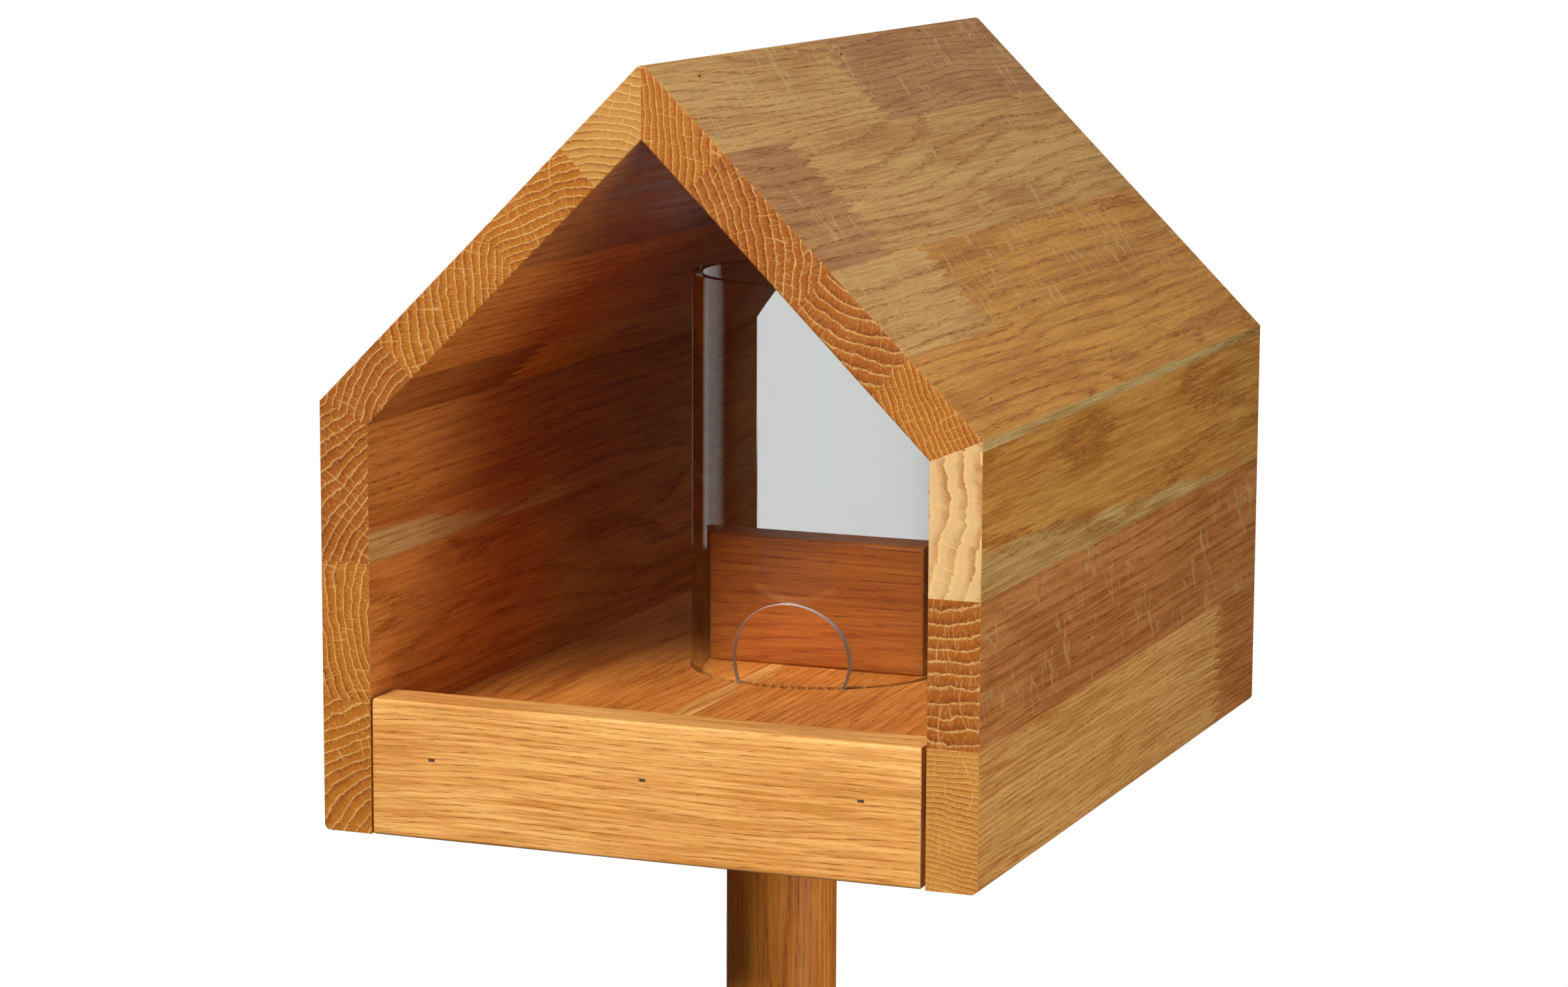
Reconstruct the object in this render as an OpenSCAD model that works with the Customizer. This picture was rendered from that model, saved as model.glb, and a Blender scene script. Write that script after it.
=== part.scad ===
// Gabled oak bird feeder with a clear seed silo, carried on a round pole with a cross foot.
// Frame: +Z up, the ground at z = 0, the pole's axis on the Z axis, the feeder's front towards -Y.

/* [House] */
// Width over the two side walls
house_w = 250; // [200:1:320]
// Depth from the front gable to the rear gable
house_d = 350; // [280:1:440]
// Height of the side walls' outer faces
eave_h = 157; // [125:1:200]
// Slope of both roof boards, in degrees
roof_pitch = 44.7; // [38:0.1:52]
// Thickness of the side walls
wall_t = 19; // [15:0.5:24]
// Thickness of the roof boards
roof_t = 19; // [15:0.5:24]
// Rounding along the ridge
ridge_ease = 3; // [1:0.5:5]
// Rounding of the walls' lower outer edges
foot_ease = 2.5; // [1:0.5:5]

/* [Floor and rails] */
// Thickness of the floor board
floor_t = 19; // [16:0.5:24]
// Height of the feeding floor above the lower edge of the walls
floor_top = 38.5; // [34:0.5:50]
// Height of the front and rear rails
rail_h = 50; // [42:1:62]
// Thickness of the rails
rail_t = 19; // [15:0.5:24]
// Gap between a rail and the left wall
rail_gap_left = 0.7; // [0.3:0.1:3]
// Gap between a rail and the right wall
rail_gap_right = 1.9; // [0.3:0.1:3]
// Rounding of the rails' long edges
rail_ease = 1.5; // [0.5:0.1:3]
// Diameter of the dowels that carry the floor
dowel_d = 8; // [5:1:10]
// Length of a dowel
dowel_len = 30; // [24:1:36]
// Depth of a dowel's hole in the wall
dowel_in_wall = 12; // [8:1:14]
// Distance from the floor's ends to the outer dowels
dowel_inset = 46; // [30:1:60]

/* [Silo] */
// Outer diameter of the clear tube
tube_d = 100; // [80:1:120]
// Wall of the clear tube
tube_wall = 4; // [3:0.5:5]
// Room between the tube's rim and the underside of the roof
tube_headroom = 13.5; // [8:0.5:30]
// Depth of the ring groove that the tube stands in
groove_depth = 3.5; // [2:0.5:6]
// Play between the tube and each side of its groove
groove_gap = 0.5; // [0.2:0.1:1]
// Diameter of the seed outlets sawn through the foot of the tube
outlet_d = 45; // [30:1:50]
// Height of an outlet's centre above the tube's lower end
outlet_rise = 13; // [8:0.5:18]
// How far the tube stands turned, in degrees
outlet_turn = 6; // [0:1:20]
// Height of the divider that parts the seed to the front and rear
divider_h = 50; // [35:1:60]
// Thickness of the divider
divider_t = 19; // [12:0.5:24]
// Play between the divider's corners and the inside of the tube
divider_gap = 1.2; // [0.8:0.1:4]

/* [Fasteners] */
// Width of a brad's shank
brad_w = 1.3; // [1:0.1:1.6]
// Length of a brad
brad_len = 30; // [25:1:35]
// How deep a brad's head is sunk
brad_sink = 1.2; // [0.5:0.1:2]
// Distance from a board's end to its outer brads
brad_inset = 36; // [25:1:45]
// Shank diameter of the wood screws
screw_d = 4; // [3:0.5:5]
// Length of the screws that hold the pole socket
screw_len = 30; // [26:1:32]

/* [Pole] */
// Diameter of the pole
pole_d = 42; // [34:1:50]
// Length of the pole
pole_len = 1000; // [800:10:1250]
// Distance from the pole's axis back to the middle of the house
house_setback = 40; // [0:1:60]
// Play between the pole and the holes that it stands in
pole_gap = 0.2; // [0.1:0.05:0.5]
// Width of wood around the pole in its socket
socket_wall = 21; // [17:0.5:26]
// Thickness of the socket under the floor
socket_t = 18; // [14:0.5:24]
// Depth of the pole's seat in the underside of the floor
seat_depth = 6; // [3:0.5:8]

/* [Foot] */
// Length of each arm of the cross
arm_len = 480; // [440:5:600]
// Width of an arm
arm_w = 60; // [50:1:75]
// Thickness of an arm
arm_t = 32; // [28:1:45]
// Height of the collar around the pole
collar_h = 36; // [28:1:55]
// Width of wood around the pole in the collar's hub
collar_wall = 11; // [8:0.5:16]
// Thickness of the collar's flange
flange_t = 14; // [12:0.5:18]
// Width of the flange outside the hub
flange_w = 23; // [18:0.5:30]
// Diameter of the holes for ground anchors
anchor_d = 9; // [6:0.5:12]
// Distance from the pole's axis to the anchor holes
anchor_r = 172; // [130:1:180]
// Diameter of the lag screw up into the pole
lag_d = 10; // [8:1:12]
// Length of the lag screw under its head
lag_len = 100; // [85:5:140]

/* [Hidden] */
$fn = 64;

OAK = "#b9742f";
OAK_LIGHT = "#cf9144";
OAK_DARK = "#8a5226";
ACRYLIC = [0.85, 0.93, 0.95, 0.35];
STEEL = "#b9bcc0";

past = 1; // how far a cutter runs past the face that it cuts
fit = 0.03; // play around a driven fastener
wood_ease = 1; // light rounding of the turned edges

// House, measured from the lower edge of its walls.
half_w = house_w / 2;
ridge_h = eave_h + half_w * tan(roof_pitch);
ridge_in_h = ridge_h - roof_t / cos(roof_pitch);
inner_w = house_w - 2 * wall_t;
eave_in_h = ridge_in_h - inner_w / 2 * tan(roof_pitch);
floor_len = house_d - 2 * rail_t;
floor_mid = floor_top - floor_t / 2;
floor_under = floor_top - floor_t;
rail_w = inner_w - rail_gap_left - rail_gap_right;
rail_x = (rail_gap_left - rail_gap_right) / 2;

// Silo.
tube_r = tube_d / 2;
tube_bottom = floor_top - groove_depth;
tube_top = ridge_in_h - tube_r * tan(roof_pitch) - tube_headroom;
divider_corner_r = tube_r - tube_wall - divider_gap;
divider_w = 2 * sqrt(pow(divider_corner_r, 2) - pow(divider_t / 2, 2));

// Brads: flat shanks with small T heads.
brad_thick = brad_w * 0.8;
brad_head_w = brad_w + 1;
brad_head_t = 1;
brad_ys = [-house_d / 2 + brad_inset, 0, house_d / 2 - brad_inset];
brad_xs = [for (side = [-1, 0, 1]) side * (inner_w / 2 - brad_inset + 12)];
ridge_brad_run = roof_t / (2 * sin(2 * roof_pitch));

// Dowels and screws.
dowel_ys = [for (side = [-1, 0, 1]) side * (floor_len / 2 - dowel_inset)];
screw_head_d = 2 * screw_d;
screw_tip = screw_d;
socket_r = pole_d / 2 + pole_gap + socket_wall;
socket_screw_r = pole_d / 2 + pole_gap + socket_wall / 2;

// Foot and pole, measured from the ground.
pole_top = arm_t + pole_len;
house_z = pole_top - seat_depth - floor_under;
hub_r = pole_d / 2 + pole_gap + collar_wall;
flange_r = hub_r + flange_w;
collar_screw_r = hub_r + flange_w / 2;
collar_screw_len = flange_t + 22;
lag_head_af = 1.7 * lag_d;
lag_head_t = 0.65 * lag_d;
lag_tip_d = 0.5;
washer_d = 2.4 * lag_d;
washer_t = 2;
lag_recess_d = washer_d + 3;
lag_recess = lag_head_t + washer_t + 1.5;

// Placement helpers.
module at_house() {
    translate([0, house_setback, house_z])
        children();
}

// Extrudes a profile drawn in X and Z along Y, centred on the house.
module along_y(length) {
    rotate([90, 0, 0])
        linear_extrude(length, center = true)
            children();
}

// What easing takes off a convex corner: the corner point, the directions of its two edges and a radius.
module ease_2d(corner, dir_a, dir_b, radius) {
    half = acos(dir_a * dir_b) / 2;
    run = radius / tan(half);
    mid = (dir_a + dir_b) / norm(dir_a + dir_b);
    centre = corner + mid * radius / sin(half);
    difference() {
        polygon([corner - mid * radius / 10, corner + dir_a * run, centre, corner + dir_b * run]);
        translate(centre)
            circle(r = radius);
    }
}

// A rectangle with all four corners eased, for rails and blocks.
module eased_rect(w, h, radius) {
    difference() {
        square([w, h], center = true);
        for (sx = [-1, 1], sy = [-1, 1])
            ease_2d([sx * w / 2, sy * h / 2], [-sx, 0], [0, -sy], radius);
    }
}

// Fasteners stand along +Z with the point up and the top of the head at the origin, unless said otherwise.
module brad(play = 0, sink = 0) {
    translate([-(brad_head_w / 2 + play), -(brad_thick / 2 + play), -sink])
        cube([brad_head_w + 2 * play, brad_thick + 2 * play, brad_head_t + sink + play]);
    translate([-(brad_w / 2 + play), -(brad_thick / 2 + play), 0])
        cube([brad_w + 2 * play, brad_thick + 2 * play, brad_len + play]);
}

module screw(length, play = 0, below = 0) {
    cone_h = (screw_head_d - screw_d) / 2;
    cylinder(h = cone_h, r1 = screw_head_d / 2 + play, r2 = screw_d / 2 + play);
    cylinder(h = length - screw_tip + play, r = screw_d / 2 + play);
    translate([0, 0, length - screw_tip + play])
        cylinder(h = screw_tip, r1 = screw_d / 2 + play, r2 = 0.2);
    if (below > 0)
        translate([0, 0, -below])
            cylinder(h = below, r = screw_head_d / 2 + play);
}

// A crossed recess in the head of a screw.
module drive_slots() {
    slot_w = screw_d / 5;
    slot_l = screw_d * 1.1;
    for (turn = [0, 90])
        rotate([0, 0, turn])
            translate([-slot_l / 2, -slot_w / 2, -past])
                cube([slot_l, slot_w, past + screw_d / 3]);
}

module finished_screw(length) {
    difference() {
        screw(length);
        drive_slots();
    }
}

// Where each group of fasteners goes.
module ridge_brad_spots() {
    x = ridge_brad_run * cos(roof_pitch);
    for (y = brad_ys)
        translate([x, y, ridge_h - ridge_brad_run * sin(roof_pitch)])
            rotate([0, -90 - roof_pitch, 0])
                translate([0, 0, brad_sink])
                    rotate([0, 0, 90])
                        children();
}

module eave_brad_spots(side) {
    x = half_w - wall_t / 2;
    for (y = brad_ys)
        translate([side * x, y, ridge_h - x * tan(roof_pitch) - brad_sink])
            rotate([180, 0, 90])
                children();
}

module rail_brad_spots(side) {
    for (x = brad_xs)
        translate([x, side * (house_d / 2 - brad_sink), floor_mid])
            rotate([side * 90, 0, 0])
                children();
}

module dowel_spots(side) {
    for (y = dowel_ys)
        translate([side * (inner_w / 2 + dowel_in_wall), y, floor_mid])
            rotate([0, -side * 90, 0])
                children();
}

module socket_screw_spots() {
    for (turn = [45:90:315])
        translate([0, -house_setback, floor_under - socket_t])
            rotate([0, 0, turn])
                translate([socket_screw_r, 0, 0])
                    children();
}

module collar_screw_spots() {
    for (turn = [0:90:270])
        rotate([0, 0, turn])
            translate([collar_screw_r, 0, arm_t + flange_t])
                rotate([180, 0, 0])
                    children();
}

// House boards.
module wall_profile() {
    difference() {
        polygon([
            [half_w, 0],
            [half_w, eave_h],
            [half_w - wall_t, eave_in_h],
            [half_w - wall_t, 0]
        ]);
        ease_2d([half_w, 0], [-1, 0], [0, 1], foot_ease);
    }
}

module roof_profile() {
    difference() {
        polygon([
            [0, ridge_h],
            [half_w, eave_h],
            [half_w - wall_t, eave_in_h],
            [0, ridge_in_h]
        ]);
        ease_2d([0, ridge_h], [cos(roof_pitch), -sin(roof_pitch)], [-cos(roof_pitch), -sin(roof_pitch)],
            ridge_ease);
    }
}

module wall(side) {
    difference() {
        along_y(house_d)
            mirror([side < 0 ? 1 : 0, 0])
                wall_profile();
        dowel_spots(side)
            cylinder(h = dowel_len, r = dowel_d / 2 + fit);
        eave_brad_spots(side)
            brad(fit);
    }
}

module roof(side) {
    difference() {
        along_y(house_d)
            mirror([side < 0 ? 1 : 0, 0])
                roof_profile();
        eave_brad_spots(side)
            brad(fit, brad_sink + past);
        ridge_brad_spots()
            brad(fit, brad_sink + past);
    }
}

module left_wall() {
    color(OAK)
        at_house()
            wall(-1);
}

module right_wall() {
    color(OAK)
        at_house()
            wall(1);
}

module left_roof() {
    color(OAK)
        at_house()
            roof(-1);
}

module right_roof() {
    color(OAK)
        at_house()
            roof(1);
}

module floor_board() {
    color(OAK)
        at_house()
            difference() {
                translate([-inner_w / 2, -floor_len / 2, floor_under])
                    cube([inner_w, floor_len, floor_t]);
                silo_groove();
                translate([0, -house_setback, floor_under - past])
                    cylinder(h = seat_depth + past, r = pole_d / 2 + pole_gap);
                for (side = [-1, 1]) {
                    dowel_spots(side)
                        cylinder(h = dowel_len, r = dowel_d / 2 + fit);
                    rail_brad_spots(side)
                        brad(fit);
                }
                socket_screw_spots()
                    screw(screw_len, fit);
            }
}

module silo_groove() {
    translate([0, 0, tube_bottom])
        difference() {
            cylinder(h = groove_depth + past, r = tube_r + groove_gap, $fn = 128);
            translate([0, 0, -past])
                cylinder(h = groove_depth + 3 * past, r = tube_r - tube_wall - groove_gap, $fn = 128);
        }
}

module rail(side) {
    difference() {
        translate([rail_x, side * (house_d / 2 - rail_t / 2), rail_h / 2])
            rotate([90, 0, 90])
                linear_extrude(rail_w, center = true)
                    eased_rect(rail_t, rail_h, rail_ease);
        rail_brad_spots(side)
            brad(fit, brad_sink + past);
    }
}

module front_rail() {
    color(OAK_LIGHT)
        at_house()
            rail(-1);
}

module rear_rail() {
    color(OAK_LIGHT)
        at_house()
            rail(1);
}

module seed_divider() {
    color(OAK_LIGHT)
        at_house()
            translate([0, 0, floor_top + divider_h / 2])
                rotate([90, 0, 90])
                    linear_extrude(divider_w, center = true)
                        eased_rect(divider_t, divider_h, rail_ease);
}

module pole_socket() {
    color(OAK)
        at_house()
            difference() {
                translate([0, -house_setback, floor_under - socket_t])
                    difference() {
                        cylinder(h = socket_t, r = socket_r);
                        translate([0, 0, -past])
                            cylinder(h = socket_t + 2 * past, r = pole_d / 2 + pole_gap);
                    }
                socket_screw_spots()
                    screw(screw_len, fit, past);
            }
}

// House fasteners.
module ridge_brads() {
    color(STEEL)
        at_house()
            ridge_brad_spots()
                brad();
}

module left_eave_brads() {
    color(STEEL)
        at_house()
            eave_brad_spots(-1)
                brad();
}

module right_eave_brads() {
    color(STEEL)
        at_house()
            eave_brad_spots(1)
                brad();
}

module front_rail_brads() {
    color(STEEL)
        at_house()
            rail_brad_spots(-1)
                brad();
}

module rear_rail_brads() {
    color(STEEL)
        at_house()
            rail_brad_spots(1)
                brad();
}

module dowels(side) {
    color(OAK_LIGHT)
        at_house()
            dowel_spots(side)
                cylinder(h = dowel_len, r = dowel_d / 2);
}

module left_floor_dowels() {
    dowels(-1);
}

module right_floor_dowels() {
    dowels(1);
}

module socket_screws() {
    color(STEEL)
        at_house()
            socket_screw_spots()
                finished_screw(screw_len);
}

// The clear tube, with one cut through its foot that opens an outlet to the front and one to the rear.
module silo_tube() {
    tube_len = tube_top - tube_bottom;
    color(ACRYLIC)
        at_house()
            translate([0, 0, tube_bottom])
                difference() {
                    cylinder(h = tube_len, r = tube_r, $fn = 128);
                    translate([0, 0, -past])
                        cylinder(h = tube_len + 2 * past, r = tube_r - tube_wall, $fn = 128);
                    rotate([0, 0, outlet_turn])
                        translate([0, 0, outlet_rise])
                            rotate([90, 0, 0])
                                cylinder(h = tube_d + 2 * past, d = outlet_d, center = true);
                }
}

// Stand.
module pole() {
    tip = lag_recess + lag_len;
    color(OAK_DARK)
        difference() {
            translate([0, 0, arm_t])
                rotate_extrude()
                    polygon([
                        [0, 0],
                        [pole_d / 2, 0],
                        [pole_d / 2, pole_len - wood_ease],
                        [pole_d / 2 - wood_ease, pole_len],
                        [0, pole_len]
                    ]);
            translate([0, 0, arm_t - past])
                cylinder(h = tip - lag_d - arm_t + past, r = lag_d / 2 + fit);
            translate([0, 0, tip - lag_d])
                cylinder(h = lag_d + fit, r1 = lag_d / 2 + fit, r2 = lag_tip_d / 2 + fit);
        }
}

module foot_collar() {
    bore_r = pole_d / 2 + pole_gap;
    color(OAK_DARK)
        difference() {
            translate([0, 0, arm_t])
                rotate_extrude()
                    polygon([
                        [bore_r, 0],
                        [flange_r, 0],
                        [flange_r, flange_t - 2 * wood_ease],
                        [flange_r - 2 * wood_ease, flange_t],
                        [hub_r, flange_t],
                        [hub_r, collar_h - 2 * wood_ease],
                        [hub_r - 2 * wood_ease, collar_h],
                        [bore_r, collar_h]
                    ]);
            collar_screw_spots()
                screw(collar_screw_len, fit, past);
        }
}

// One arm along X, with its half lap open upwards (side 1) or downwards (side -1).
module foot_arm(side) {
    difference() {
        translate([-arm_len / 2, 0, arm_t / 2])
            rotate([90, 0, 90])
                linear_extrude(arm_len)
                    eased_rect(arm_w, arm_t, rail_ease);
        translate([-arm_w / 2, -arm_w / 2 - past, side > 0 ? arm_t / 2 : -past])
            cube([arm_w, arm_w + 2 * past, arm_t / 2 + past]);
        for (end = [-1, 1])
            translate([end * anchor_r, 0, -past])
                cylinder(h = arm_t + 2 * past, d = anchor_d);
        translate([0, 0, -past])
            cylinder(h = arm_t + 2 * past, r = lag_d / 2 + fit);
        if (side > 0)
            translate([0, 0, -past])
                cylinder(h = lag_recess + past, d = lag_recess_d);
    }
}

module lower_foot_arm() {
    color(OAK_DARK)
        difference() {
            foot_arm(1);
            collar_screw_spots()
                screw(collar_screw_len, fit);
        }
}

module upper_foot_arm() {
    color(OAK_DARK)
        difference() {
            rotate([0, 0, 90])
                foot_arm(-1);
            collar_screw_spots()
                screw(collar_screw_len, fit);
        }
}

module collar_screws() {
    color(STEEL)
        collar_screw_spots()
            finished_screw(collar_screw_len);
}

module pole_lag_screw() {
    color(STEEL) {
        translate([0, 0, lag_recess - washer_t - lag_head_t])
            cylinder(h = lag_head_t, d = lag_head_af / cos(30), $fn = 6);
        translate([0, 0, lag_recess - washer_t])
            cylinder(h = lag_len - lag_d + washer_t, d = lag_d);
        translate([0, 0, lag_recess + lag_len - lag_d])
            cylinder(h = lag_d, d1 = lag_d, d2 = lag_tip_d);
    }
}

module lag_washer() {
    color(STEEL)
        translate([0, 0, lag_recess - washer_t])
            difference() {
                cylinder(h = washer_t, d = washer_d);
                translate([0, 0, -past])
                    cylinder(h = washer_t + 2 * past, r = lag_d / 2 + fit);
            }
}

left_wall();
right_wall();
left_roof();
right_roof();
floor_board();
front_rail();
rear_rail();
seed_divider();
pole_socket();
ridge_brads();
left_eave_brads();
right_eave_brads();
front_rail_brads();
rear_rail_brads();
left_floor_dowels();
right_floor_dowels();
socket_screws();
silo_tube();
pole();
foot_collar();
lower_foot_arm();
upper_foot_arm();
collar_screws();
pole_lag_screw();
lag_washer();
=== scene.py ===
# %% [markdown]
# # An oak bird feeder on a pole
#
# The feeder is a small gabled house of glued oak board, open at both ends. A clear acrylic tube
# stands on its floor as a seed silo, and the house sits on a round oak pole with a cross foot.
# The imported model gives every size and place. This lesson adds what it can't hold: eased
# edges, glued staves with their own colour and rings, polished acrylic, and the light.

import math

import bmesh
import bpy
from mathutils import Matrix, Vector


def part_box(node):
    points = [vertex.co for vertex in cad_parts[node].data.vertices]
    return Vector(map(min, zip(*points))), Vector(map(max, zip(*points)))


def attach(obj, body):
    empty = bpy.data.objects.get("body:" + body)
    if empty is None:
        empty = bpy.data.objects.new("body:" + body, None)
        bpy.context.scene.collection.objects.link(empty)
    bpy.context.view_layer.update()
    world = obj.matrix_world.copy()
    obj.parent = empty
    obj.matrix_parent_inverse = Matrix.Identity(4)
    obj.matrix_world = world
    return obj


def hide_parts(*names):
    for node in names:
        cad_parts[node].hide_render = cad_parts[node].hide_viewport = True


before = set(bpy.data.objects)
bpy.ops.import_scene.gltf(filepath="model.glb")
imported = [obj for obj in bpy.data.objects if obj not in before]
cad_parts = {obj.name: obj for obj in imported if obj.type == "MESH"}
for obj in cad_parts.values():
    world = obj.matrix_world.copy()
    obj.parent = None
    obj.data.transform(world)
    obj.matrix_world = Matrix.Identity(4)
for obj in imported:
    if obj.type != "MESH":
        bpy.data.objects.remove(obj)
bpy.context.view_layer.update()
MM = 0.001
print("nodes in the frame:", len(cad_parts))

# %% [markdown]
# ## Reading the house
#
# All places come from the frame. The pitch of the roof follows from three heights, and the
# outer faces of the walls and roof are where the boards' own directions are measured from.

# %% Measure the house
wall_lo, wall_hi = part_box("right_wall")
roof_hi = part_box("right_roof")[1]
left_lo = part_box("left_wall")[0]
floor_lo, floor_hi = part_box("floor_board")
rail_lo, rail_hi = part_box("front_rail")
tube_lo, tube_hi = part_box("silo_tube")
pole_lo, pole_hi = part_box("pole")
FRONT, BACK = wall_lo.y, wall_hi.y
EAVE = wall_hi.z
BASE = wall_lo.z
# The ridge is eased by 3 mm, which takes a little off its height.
RIDGE_EASE = 3 * MM
half_width = wall_hi.x
rough_pitch = math.atan2(roof_hi.z - EAVE, half_width)
RIDGE = roof_hi.z + RIDGE_EASE * (1 / math.cos(rough_pitch) - 1)
PITCH = math.atan2(RIDGE - EAVE, half_width)
middle = Vector((0, (FRONT + BACK) / 2, BASE))
print("roof pitch in degrees:", round(math.degrees(PITCH), 2))
print("across the walls in metres:", round(wall_hi.x - left_lo.x, 4))
print("rail height in metres:", round(rail_hi.z - rail_lo.z, 4))

# %% [markdown]
# ## The camera
#
# A lens of about 100 mm from under two metres away keeps the house's upright edges nearly
# parallel, as a product picture has them. The camera looks down by nine degrees and stands
# round to the right of the front. Its place is measured from the middle of the house.

# %% Place the camera
LENS_MM = 99.55
SENSOR_MM = 36
FROM_MIDDLE = Vector((0.5904, -1.5393, 0.3738))  # right, back from the front, up, in metres
camera = bpy.data.objects.new("camera", bpy.data.cameras.new("camera"))
bpy.context.collection.objects.link(camera)
camera.data.lens = LENS_MM
camera.data.sensor_width = SENSOR_MM
camera.location = middle + FROM_MIDDLE
turn, tip, roll = math.radians(21.489), math.radians(9.259), math.radians(0.274)
camera.matrix_world = (
    Matrix.Translation(camera.location)
    @ Matrix.Rotation(turn, 4, "Z")
    @ Matrix.Rotation(math.pi / 2 - tip, 4, "X")
    @ Matrix.Rotation(roll, 4, "Z")
)
bpy.context.scene.camera = camera
print("camera at", [round(c, 3) for c in camera.location])

# %% [markdown]
# ## Nodes and colours
#
# Colours are written as sRGB hex, the way a paint chart gives them, and Blender wants them
# linear. One helper adds a node, sets its settings and makes its links, and gives back one of
# its outputs, or all of them, so that a material reads from the top down.


# %% Helpers for materials
def linear(hex_colour):
    """An sRGB hex colour as linear RGBA."""
    shares = [int(hex_colour[i : i + 2], 16) / 255 for i in (1, 3, 5)]
    curve = [s / 12.92 if s <= 0.04045 else ((s + 0.055) / 1.055) ** 2.4 for s in shares]
    return (*curve, 1.0)


def add(tree, kind, inputs=(), output=0, **settings):
    """Adds one node with its settings, and its inputs as values or links, by order or by name."""
    made = tree.nodes.new(kind)
    for name, value in settings.items():
        setattr(made, name, value)
    pairs = inputs.items() if isinstance(inputs, dict) else enumerate(inputs)
    for name, value in pairs:
        if isinstance(value, bpy.types.NodeSocket):
            tree.links.new(value, made.inputs[name])
        else:
            made.inputs[name].default_value = value
    return made.outputs if output is None else made.outputs[output]


MATH, VECTOR, RANGE = "ShaderNodeMath", "ShaderNodeVectorMath", "ShaderNodeMapRange"
MIX, NOISE, COMBINE = "ShaderNodeMix", "ShaderNodeTexNoise", "ShaderNodeCombineXYZ"
# A range with an eased start and end. A colour mix has its share in 0 and its colours in 6 and 7.
SMOOTH = {"interpolation_type": "SMOOTHSTEP"}
COLOUR = {"data_type": "RGBA", "output": 2}
print("white as linear:", linear("#ffffff"))

# %% [markdown]
# ## Oiled oak, as a solid
#
# Glued board is sawn from staves, and each stave is a small block of a tree: rings round a
# pith that usually lies outside it, rays that run out from the pith, and pores along the
# grain. So the pattern is worked out in three dimensions from a point's place in its board,
# and the ends and faces of a board then agree by themselves. Every face carries what its
# stave needs: colours, the pith's place, the spacing of the rings, and where a finger joint
# hands over to the next piece of wood.
#
# Oil soaks into end grain, which turns it deeper and makes the pale pores of the early wood
# stand out. On the long faces those same pores are short brown dashes. Where a face is cut
# along the rays they show as pale flecks across the grain.
#
# Real pores are 0.3 mm wide. They are drawn a little coarser, so that they still show.


# %% Open the oak group
END_LINE = "#ffd080"
RAY = "#dcae6c"
SAP = "#d9b878"

oak = bpy.data.node_groups.new("oiled oak", "ShaderNodeTree")
TAKES = {
    "Place": "NodeSocketVector",
    "Pith": "NodeSocketVector",
    "Seed": "NodeSocketFloat",
    "Joint": "NodeSocketFloat",
    "Face": "NodeSocketColor",
    "End": "NodeSocketColor",
    "Beyond": "NodeSocketColor",
    "End grain": "NodeSocketFloat",
    "Arris": "NodeSocketFloat",
    "Figure": "NodeSocketFloat",
    "Sap": "NodeSocketFloat",
}
GIVES = {"Color": "NodeSocketColor", "Roughness": "NodeSocketFloat", "Height": "NodeSocketFloat"}
for name, kind in TAKES.items():
    oak.interface.new_socket(name, in_out="INPUT", socket_type=kind)
for name, kind in GIVES.items():
    oak.interface.new_socket(name, in_out="OUTPUT", socket_type=kind)
given = add(oak, "NodeGroupInput", output=None)
print("sockets of the oak group:", len(oak.interface.items_tree))

# %% [markdown]
# ## Finger joints
#
# A long stave is several short ones, cut at the ends with interlocking teeth and glued. A
# triangle wave across the board draws the teeth. Past them a new seed gives the wood beyond its
# own rings and streaks. Luck is that seed spread into three numbers that move every noise.

# %% Find where one piece of wood ends
TOOTH_HALF = 2.2  # half the pitch of the teeth, in millimetres
TOOTH_LENGTH = 12
place = add(oak, VECTOR, [given["Place"], (1000, 1000, 1000)], operation="MULTIPLY")
along, across, depth = add(oak, "ShaderNodeSeparateXYZ", [place], output=None)
teeth = add(
    oak,
    MATH,
    [add(oak, MATH, [across, TOOTH_HALF], operation="PINGPONG"), TOOTH_LENGTH / TOOTH_HALF],
    operation="MULTIPLY",
)
past_joint = add(
    oak,
    RANGE,
    [
        add(
            oak,
            MATH,
            [add(oak, MATH, [along, teeth], operation="ADD"), given["Joint"]],
            operation="SUBTRACT",
        ),
        -0.4,
        0.4,
    ],
    **SMOOTH,
)
seed = add(
    oak,
    MATH,
    [given["Seed"], add(oak, MATH, [past_joint, 7.31], operation="MULTIPLY")],
    operation="ADD",
)
luck = add(
    oak,
    VECTOR,
    [
        add(oak, "ShaderNodeTexWhiteNoise", {"W": seed}, output=1, noise_dimensions="1D"),
        (97, 61, 83),
    ],
    operation="MULTIPLY",
)
print("finger joints:", len(oak.nodes), "nodes so far")

# %% [markdown]
# ## Noise that follows the grain
#
# Almost everything in long grain is drawn out along it. This pattern squeezes the place by a
# spacing along the grain and one across it, moves it by the stave's luck, and reads noise there.


# %% A noise drawn out along the grain
def grain(along, across, offset=0.0, detail=2.0, roughness=0.55, distortion=0.0, output=0):
    """Noise stretched along the grain, with its two spacings in millimetres."""
    sized = add(oak, VECTOR, [place, (1 / along, 1 / across, 1 / across)], operation="MULTIPLY")
    moved = add(
        oak,
        VECTOR,
        [sized, add(oak, VECTOR, [luck, (offset,) * 3], operation="ADD")],
        operation="ADD",
    )
    return add(
        oak,
        NOISE,
        {
            "Vector": moved,
            "Scale": 1.0,
            "Detail": detail,
            "Roughness": roughness,
            "Distortion": distortion,
        },
        output=output,
    )


print("grain helper ready, place and luck are its inputs")

# %% [markdown]
# ## Growth rings
#
# A tree adds one ring a year round its pith. The distance from the pith, divided by the ring
# spacing, counts the years, and its fraction says where in the year the wood is. Early wood is
# porous and late wood dense. The pith wanders along the stave, which bends the streaks.

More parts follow.
